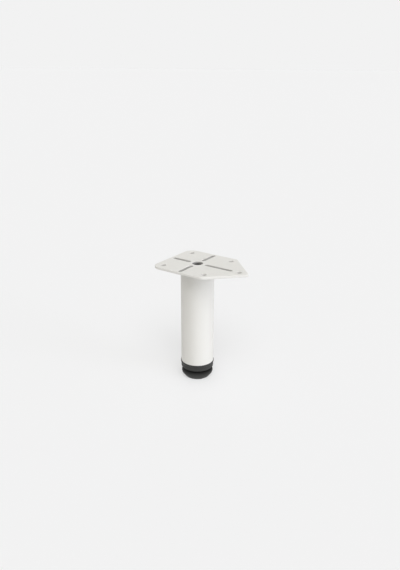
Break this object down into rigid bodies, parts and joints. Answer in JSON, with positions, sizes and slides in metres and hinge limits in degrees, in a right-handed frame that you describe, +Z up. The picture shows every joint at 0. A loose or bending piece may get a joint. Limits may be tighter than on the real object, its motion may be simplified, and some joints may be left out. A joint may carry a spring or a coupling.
{
  "type": "furniture leg",
  "caption": "White steel cabinet leg: pressed mounting plate with a pointed tip, welded round tube, and a black plastic foot on a threaded stud that screws out of a plug to level it.",
  "frame": {"origin": "centre of the foot's floor face, on the tube's axis, with the foot screwed home", "axes": "+Z up along the tube's axis to the plate's top face, +X towards the plate's pointed tip"},
  "size_m": [0.0752, 0.0544, 0.1034],
  "materials": {
    "white_powder_coat": "fine satin powder coat",
    "black_plastic": "moulded, fine matte grain",
    "zinc_plated_steel": "bright zinc plating"
  },
  "bodies": {
    "leg": {"mounting_plate": "white_powder_coat", "leg_tube": "white_powder_coat", "weld_beads": "white_powder_coat", "tube_plug": "black_plastic", "plug_nut": "zinc_plated_steel"},
    "stud": {"threaded_stud": "zinc_plated_steel"},
    "foot": {"foot_base": "black_plastic"}
  },
  "joints": [
    {"name": "foot_travel", "type": "slide", "parent": "leg", "child": "stud", "axis": [0, 0, -1], "range_m": [0, 0.0105]},
    {"name": "foot_turn", "type": "hinge", "parent": "stud", "child": "foot", "pos_m": [0, 0, 0], "axis": [0, 0, -1], "range_deg": [0, 2520]}
  ],
  "couplings": [
    {"joint": "foot_turn", "follows": "foot_travel", "rad_per_m": 4188.8}
  ]
}
